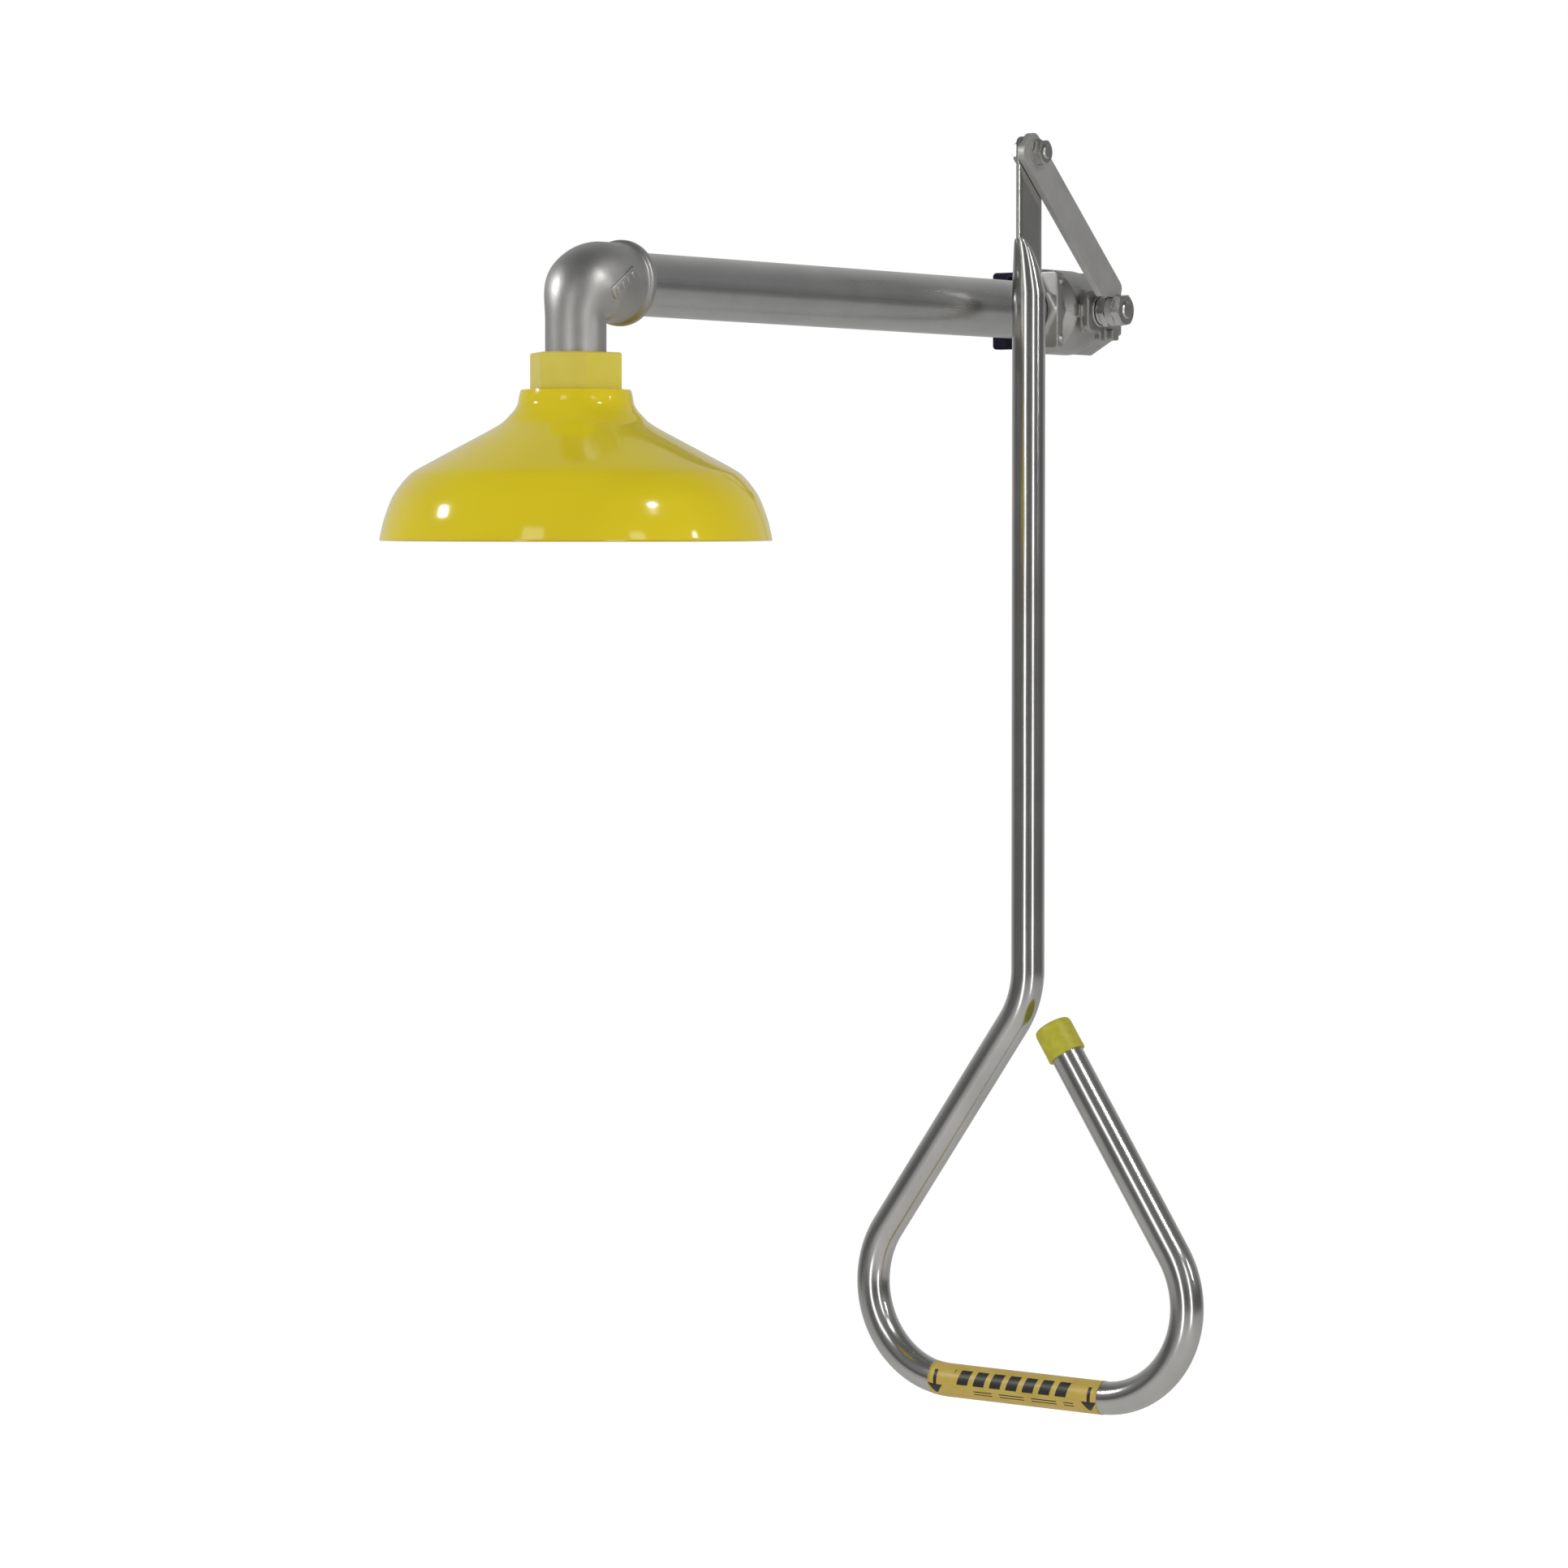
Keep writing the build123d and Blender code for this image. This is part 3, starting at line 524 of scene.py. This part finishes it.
def bent_run(corners, radius, piece):
    """Straight runs joined by tangent arcs, cut fine enough to bend smoothly."""
    arc_steps = 32
    pts = [Vector((x, 0.0, z)) for x, z in corners]
    run = [pts[0]]
    for before, corner, after in zip(pts, pts[1:], pts[2:]):
        a = (before - corner).normalized()
        b = (after - corner).normalized()
        half = a.angle(b) / 2
        reach = radius / math.tan(half)
        start, stop = corner + a * reach, corner + b * reach
        middle = corner + (a + b).normalized() * (radius / math.sin(half))
        straight = (start - run[-1]).length
        steps = max(1, round(straight / piece))
        first = run[-1]
        run += [first.lerp(start, i / steps) for i in range(1, steps + 1)]
        u, v = start - middle, stop - middle
        sweep = u.angle(v)
        for i in range(1, arc_steps + 1):
            t = i / arc_steps
            swung = u * math.sin((1 - t) * sweep) + v * math.sin(t * sweep)
            run.append(middle + swung / math.sin(sweep))
    first = run[-1]
    steps = round((pts[-1] - first).length / piece)
    run += [first.lerp(pts[-1], i / steps) for i in range(1, steps + 1)]
    return run


rod_run = bent_run(rod_corners, rod_bend, 0.012)
top_run = [Vector((0, 0, rod_top - 0.0010 * i)) for i in range(0, 100)]
rod_run = top_run + [p for p in rod_run if p.z < top_run[-1].z - 0.001 or abs(p.x) > 1e-6]
pull_rod = tube_along("bent_pull_rod", rod_run, [rod_radius] * len(rod_run), Vector((0, 1, 0)),
                      rod_sides)

# the press: flat and wide down to flat_end, then easing back to round at round_end, front first
press_reach = 0.012
flat_half = 0.0125
flat_skin = 0.0015
flat_end = -0.049
round_end = -0.080
front_ease = 0.45
back_starts = 0.80
back_run = 0.20
edge_rounding = 12
top_flat = 0.0055
top_round = 0.0070
pressed_points = rod_sides * len(top_run)
for vertex in pull_rod.data.vertices:
    if vertex.co.z > round_end and abs(vertex.co.x) < press_reach and vertex.index < pressed_points:
        side = vertex.co.y / rod_radius
        face = 1.0 if vertex.co.x >= 0 else -1.0
        t = min(1.0, max(0.0, (flat_end - vertex.co.z) / (flat_end - round_end)))
        part = t ** front_ease
        front = -flat_half * (1 - part) - rod_radius * part
        wing = min(1.0, max(0.0, (t - back_starts) / back_run))
        back = flat_half * (1 - wing) + rod_radius * wing
        y = (front + back) / 2 + (back - front) / 2 * side
        plate = flat_skin * max(0.0, 1 - abs(side) ** edge_rounding) ** 0.5
        middle = front + rod_radius * part
        reach = (y - middle) / max(rod_radius * part, 1e-6)
        swell = 0.0
        if abs(reach) < 1:
            swell = (flat_skin + (rod_radius - flat_skin) * part) * math.sqrt(1 - reach * reach)
        depth = max(plate, swell) if t > 0 else plate
        top = vertex.co.z
        if vertex.co.z > 0.0:
            edge = max(0.0, abs(side) * flat_half - top_flat) / top_round
            drop = 1 - math.sqrt(max(0.0, 1 - edge * edge))
            top = vertex.co.z - (vertex.co.z / rod_top) * top_round * drop
        vertex.co = (face * depth, y, top)
pull_rod.data.transform(Matrix.Translation(pivot))
bpy.ops.object.shade_smooth_by_angle(angle=math.radians(50))

# polishing lines about 0.7 mm apart and 50 mm long, drawn coarser than real so that they show
polished, tree, shader = start_finish("polished_stainless_tube")
place = add(tree, "ShaderNodeTexCoord")
draw = add(tree, "ShaderNodeUVMap", {"uv_map": "grain"})
stretch = add(tree, "ShaderNodeMapping", {"Scale": (20.0, 1400.0, 1.0)},
              {"Vector": draw.outputs[0]})
lines = add(tree, "ShaderNodeTexNoise", {"Scale": 1.0, "Detail": 2.0},
            {"Vector": stretch.outputs[0]})
cloud = add(tree, "ShaderNodeTexNoise", {"Scale": 30.0, "Detail": 3.0},
            {"Vector": place.outputs["Object"]})
tone = add(tree, "ShaderNodeValToRGB", {"stops": ((0.3, "B8B7B4"), (0.7, "C8C7C4"))},
           {"Fac": cloud.outputs["Fac"]})
rough = add(tree, "ShaderNodeMapRange", {"To Min": 0.13, "To Max": 0.24},
            {"Value": lines.outputs["Fac"]})
bump = add(tree, "ShaderNodeBump", {"Strength": 0.06, "Distance": 0.0001},
           {"Height": lines.outputs["Fac"]})
tree.links.new(tone.outputs[0], shader.inputs["Base Color"])
tree.links.new(rough.outputs[0], shader.inputs["Roughness"])
tree.links.new(bump.outputs[0], shader.inputs["Normal"])
shader.inputs["Metallic"].default_value = 1.0
pull_rod.data.materials.append(polished)
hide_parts("pull_rod")
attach(pull_rod, "rod")


# ---------------------------------------------------------------------------------------------
# Cap on the handle's free end: soft yellow vinyl, dipped, pushed over the tube.
# Dipping leaves a rounded end and a slightly thicker lip.
# mottling about 4.5 mm across, which gives the soft vinyl a dull sheen
yellow_vinyl, tree, shader = start_finish("dipped_yellow_vinyl")
place = add(tree, "ShaderNodeTexCoord")
dust = add(tree, "ShaderNodeTexNoise", {"Scale": 220.0, "Detail": 3.0},
           {"Vector": place.outputs["Object"]})
tone = add(tree, "ShaderNodeValToRGB", {"stops": ((0.35, "BDB62F"), (0.65, "C9C23C"))},
           {"Fac": dust.outputs["Fac"]})
rough = add(tree, "ShaderNodeMapRange", {"To Min": 0.38, "To Max": 0.52},
            {"Value": dust.outputs["Fac"]})
bump = add(tree, "ShaderNodeBump", {"Strength": 0.12, "Distance": 0.0002},
           {"Height": dust.outputs["Fac"]})
tree.links.new(tone.outputs[0], shader.inputs["Base Color"])
tree.links.new(rough.outputs[0], shader.inputs["Roughness"])
tree.links.new(bump.outputs[0], shader.inputs["Normal"])
shader.inputs["IOR"].default_value = 1.5
rod_points = [pivot + Vector((x, 0.0, z)) for x, z in rod_corners]
end_way = (rod_points[4] - rod_points[3]).normalized()
cap_line = [(0.00954, -0.0184), (0.0110, -0.0184), (0.0112, -0.0181), (0.0112, -0.0160),
            (0.0111, -0.0150), (0.0111, -0.0020), (0.0109, -0.0004), (0.0103, 0.0008),
            (0.0092, 0.0014), (0.0070, 0.0016), (0.0, 0.0016)]
end_cap = turned("dipped_end_cap", cap_line, Vector((0, 0, 0)), 96)
turn = Vector((0, 0, 1)).rotation_difference(end_way).to_matrix().to_4x4()
end_cap.data.transform(Matrix.Translation(rod_points[4]) @ turn)
bpy.ops.object.shade_smooth_by_angle(angle=math.radians(50))
end_cap.data.materials.append(yellow_vinyl)
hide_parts("rod_end_cap")
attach(end_cap, "rod")

# ---------------------------------------------------------------------------------------------
# Grip label: printed yellow vinyl film wrapped round the bottom bar.
# Two arrows point down at its ends, with plain slanted blocks and rules between them.
label_length = 0.115
label_radius = rod_radius + 0.00022
bar_way = (rod_points[3] - rod_points[2]).normalized()
bar_up = Vector((0, 1, 0)).cross(bar_way).normalized() * -1.0
label_middle = (rod_points[3] + rod_points[2]) / 2 + bar_way * -0.004
verts, faces, marks = [], [], []
rings, around = 46, 96
bar_line = [(pivot + p - label_middle, (pivot + p - label_middle).dot(bar_way)) for p in rod_run
            if p.z < rod_corners[2][1] + 0.06]
for i in range(rings + 1):
    along = label_length * (i / rings - 0.5)
    near, far = next((a, b) for a, b in zip(bar_line, bar_line[1:]) if a[1] <= along <= b[1])
    centre = label_middle + near[0].lerp(far[0], (along - near[1]) / (far[1] - near[1]))
    for k in range(around + 1):
        turn = 2 * math.pi * k / around - math.pi
        out = Vector((0, -1, 0)) * math.cos(turn) + bar_up * math.sin(turn)
        verts.append(centre + out * label_radius)
        marks.append((along * 1000, turn * label_radius * 1000))
for i in range(rings):
    for k in range(around):
        a = i * (around + 1) + k
        faces.append((a, a + 1, a + around + 2, a + around + 1))
mesh = bpy.data.meshes.new("grip_label_film")
mesh.from_pydata([tuple(v) for v in verts], [], faces)
sheet_map = mesh.uv_layers.new(name="print")
for loop in mesh.loops:
    sheet_map.data[loop.index].uv = marks[loop.vertex_index]
label = bpy.data.objects.new("grip_label_film", mesh)
bpy.context.scene.collection.objects.link(label)
bpy.ops.object.select_all(action="DESELECT")
label.select_set(True)
bpy.context.view_layer.objects.active = label
bpy.ops.object.shade_smooth()
bpy.ops.object.mode_set(mode="EDIT")
bpy.ops.mesh.select_all(action="SELECT")
bpy.ops.mesh.normals_make_consistent(inside=False)
bpy.ops.object.mode_set(mode="OBJECT")
film = label.modifiers.new("film", "SOLIDIFY")
film.thickness = 0.00018
film.offset = -1.0
apply_all(label)

# the print is laid out in millimetres of the flat sheet, from its middle
print_film, tree, shader = start_finish("printed_yellow_vinyl_film")
sheet = add(tree, "ShaderNodeUVMap", {"uv_map": "print"})
axes = add(tree, "ShaderNodeSeparateXYZ", {}, {"Vector": sheet.outputs[0]})
along, across = axes.outputs["X"], axes.outputs["Y"]
fold = add(tree, "ShaderNodeMath", {"operation": "ABSOLUTE"}, {0: along}).outputs[0]
off = add(tree, "ShaderNodeMath", {"operation": "SUBTRACT", 1: 52.5}, {0: fold})
off = add(tree, "ShaderNodeMath", {"operation": "ABSOLUTE"}, {0: off.outputs[0]}).outputs[0]
lean = add(tree, "ShaderNodeMath", {"operation": "MULTIPLY_ADD", 1: -0.22},
           {0: across, 2: along}).outputs[0]
step = add(tree, "ShaderNodeMath", {"operation": "WRAP", 1: 5.6, 2: -5.6}, {0: lean}).outputs[0]
gaps = add(tree, "ShaderNodeMath", {"operation": "WRAP", 1: 11.0, 2: -11.0}, {0: along}).outputs[0]
# an arrow head narrows downwards; every other shape is where two or three bands cross
taper = add(tree, "ShaderNodeMath", {"operation": "MULTIPLY_ADD", 1: 0.75, 2: 6.4}, {0: across})
ink = add(tree, "ShaderNodeMath", {"operation": "LESS_THAN"}, {0: off, 1: taper.outputs[0]})
head = add(tree, "ShaderNodeMath", {"operation": "COMPARE", 1: -4.6, 2: 2.9}, {0: across})
ink = add(tree, "ShaderNodeMath", {"operation": "MULTIPLY"},
          {0: ink.outputs[0], 1: head.outputs[0]})
arrow_shafts = ((off, 0.0, 1.1), (across, 2.2, 5.0))
slanted_blocks = ((step, 0.0, 3.7), (across, 4.0, 4.6), (along, 0.0, 40.0))
upper_rule = ((gaps, 0.0, 8.5), (across, -3.8, 0.35), (along, 8.0, 34.0))
lower_rule = ((gaps, 0.0, 8.5), (across, -5.6, 0.35), (along, 8.0, 34.0))
for bands in (arrow_shafts, slanted_blocks, upper_rule, lower_rule):
    shape = None
    for value, middle, half in bands:
        band = add(tree, "ShaderNodeMath", {"operation": "COMPARE", 1: middle, 2: half},
                   {0: value})
        if shape is not None:
            band = add(tree, "ShaderNodeMath", {"operation": "MULTIPLY"},
                       {0: shape.outputs[0], 1: band.outputs[0]})
        shape = band
    ink = add(tree, "ShaderNodeMath", {"operation": "MAXIMUM"},
              {0: ink.outputs[0], 1: shape.outputs[0]})
ink = ink.outputs[0]
place = add(tree, "ShaderNodeTexCoord")
fade = add(tree, "ShaderNodeTexNoise", {"Scale": 90.0, "Detail": 3.0},
           {"Vector": place.outputs["Object"]})
tone = add(tree, "ShaderNodeValToRGB", {"stops": ((0.3, "CDAF4E"), (0.7, "D8BC5C"))},
           {"Fac": fade.outputs["Fac"]})
colour = add(tree, "ShaderNodeMix", {"data_type": "RGBA", 7: linear("2C2B28")},
             {"Factor": ink, 6: tone.outputs[0]})
rough = add(tree, "ShaderNodeMapRange", {"To Min": 0.34, "To Max": 0.46},
            {"Value": fade.outputs["Fac"]})
tree.links.new(colour.outputs[2], shader.inputs["Base Color"])
tree.links.new(rough.outputs[0], shader.inputs["Roughness"])
label.data.materials.append(print_film)
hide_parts("grip_label")
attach(label, "rod")

# ---------------------------------------------------------------------------------------------
# Lever: flat stainless bar welded to a round hub on the stem, its faces linished.
# The linishing runs along the bar, so it looks dull grey with fine streaks.
# belt lines about 1 mm apart and 40 mm long, drawn coarser than real so that they show
linished, tree, shader = start_finish("linished_stainless_bar")
place = add(tree, "ShaderNodeTexCoord")
lie = add(tree, "ShaderNodeMapping",
          {"Rotation": (math.radians(45), 0, 0), "Scale": (900.0, 900.0, 25.0)},
          {"Vector": place.outputs["Object"]})
lines = add(tree, "ShaderNodeTexNoise", {"Scale": 1.0, "Detail": 3.0}, {"Vector": lie.outputs[0]})
cloud = add(tree, "ShaderNodeTexNoise", {"Scale": 55.0, "Detail": 3.0},
            {"Vector": place.outputs["Object"]})
tone = add(tree, "ShaderNodeValToRGB", {"stops": ((0.3, "BDBCB9"), (0.7, "C9C8C5"))},
           {"Fac": cloud.outputs["Fac"]})
rough = add(tree, "ShaderNodeMapRange", {"To Min": 0.50, "To Max": 0.62},
            {"Value": lines.outputs["Fac"]})
bump = add(tree, "ShaderNodeBump", {"Strength": 0.15, "Distance": 0.0001},
           {"Height": lines.outputs["Fac"]})
tree.links.new(tone.outputs[0], shader.inputs["Base Color"])
tree.links.new(rough.outputs[0], shader.inputs["Roughness"])
tree.links.new(bump.outputs[0], shader.inputs["Normal"])
shader.inputs["Metallic"].default_value = 1.0
edged_piece("lever", "flat_bar_lever", linished, "lever_set")

# ---------------------------------------------------------------------------------------------
# Fasteners and stem: turned and milled stainless, bright, with broken edges.
# Nuts, washers, bolt, stem, gland nut and follower share it.
# tool marks about 0.25 mm apart
bright, tree, shader = start_finish("bright_machined_stainless")
place = add(tree, "ShaderNodeTexCoord")
tool = add(tree, "ShaderNodeTexNoise", {"Scale": 4000.0, "Detail": 2.0},
           {"Vector": place.outputs["Object"]})
cloud = add(tree, "ShaderNodeTexNoise", {"Scale": 120.0, "Detail": 2.0},
            {"Vector": place.outputs["Object"]})
tone = add(tree, "ShaderNodeValToRGB", {"stops": ((0.3, "B0AFAC"), (0.7, "C6C5C2"))},
           {"Fac": cloud.outputs["Fac"]})
rough = add(tree, "ShaderNodeMapRange", {"To Min": 0.18, "To Max": 0.34},
            {"Value": tool.outputs["Fac"]})
corner = add(tree, "ShaderNodeBevel", {"Radius": 0.0003})
bump = add(tree, "ShaderNodeBump", {"Strength": 0.03, "Distance": 0.00005},
           {"Height": tool.outputs["Fac"], "Normal": corner.outputs[0]})
tree.links.new(tone.outputs[0], shader.inputs["Base Color"])
tree.links.new(rough.outputs[0], shader.inputs["Roughness"])
tree.links.new(bump.outputs[0], shader.inputs["Normal"])
shader.inputs["Metallic"].default_value = 1.0
for node in ("stem_nut", "pivot_nut", "pivot_bolt", "stem", "gland_nut", "stem_washer",
             "pivot_washer", "gland_follower", "disc_springs", "deflector_screws"):
    refinish(node, bright)

# ---------------------------------------------------------------------------------------------
# Inner pieces: seats, packing, washer and gasket of white PTFE, and the bronze pivot bush.
# PTFE is waxy and off-white; the sintered bush is a dull warm metal with open pores.
# clouding about 3 mm across
ptfe, tree, shader = start_finish("turned_white_ptfe")
place = add(tree, "ShaderNodeTexCoord")
wax = add(tree, "ShaderNodeTexNoise", {"Scale": 300.0, "Detail": 2.0},
          {"Vector": place.outputs["Object"]})
tone = add(tree, "ShaderNodeValToRGB", {"stops": ((0.0, "E4E3DD"), (1.0, "F1F0EC"))},
           {"Fac": wax.outputs["Fac"]})
tree.links.new(tone.outputs[0], shader.inputs["Base Color"])
shader.inputs["Roughness"].default_value = 0.5
for node in ("seat_rings", "body_gasket", "stem_packing", "thrust_washer"):
    refinish(node, ptfe)
# pores about 0.4 mm, a little coarser than real
bronze, tree, shader = start_finish("sintered_bronze")
place = add(tree, "ShaderNodeTexCoord")
pores = add(tree, "ShaderNodeTexNoise", {"Scale": 2500.0, "Detail": 2.0},
            {"Vector": place.outputs["Object"]})
tone = add(tree, "ShaderNodeValToRGB", {"stops": ((0.0, "8C6B3E"), (1.0, "B58F55"))},
           {"Fac": pores.outputs["Fac"]})
tree.links.new(tone.outputs[0], shader.inputs["Base Color"])
shader.inputs["Metallic"].default_value = 1.0
shader.inputs["Roughness"].default_value = 0.45
refinish("pivot_bush", bronze)
refinish("ball", bright)
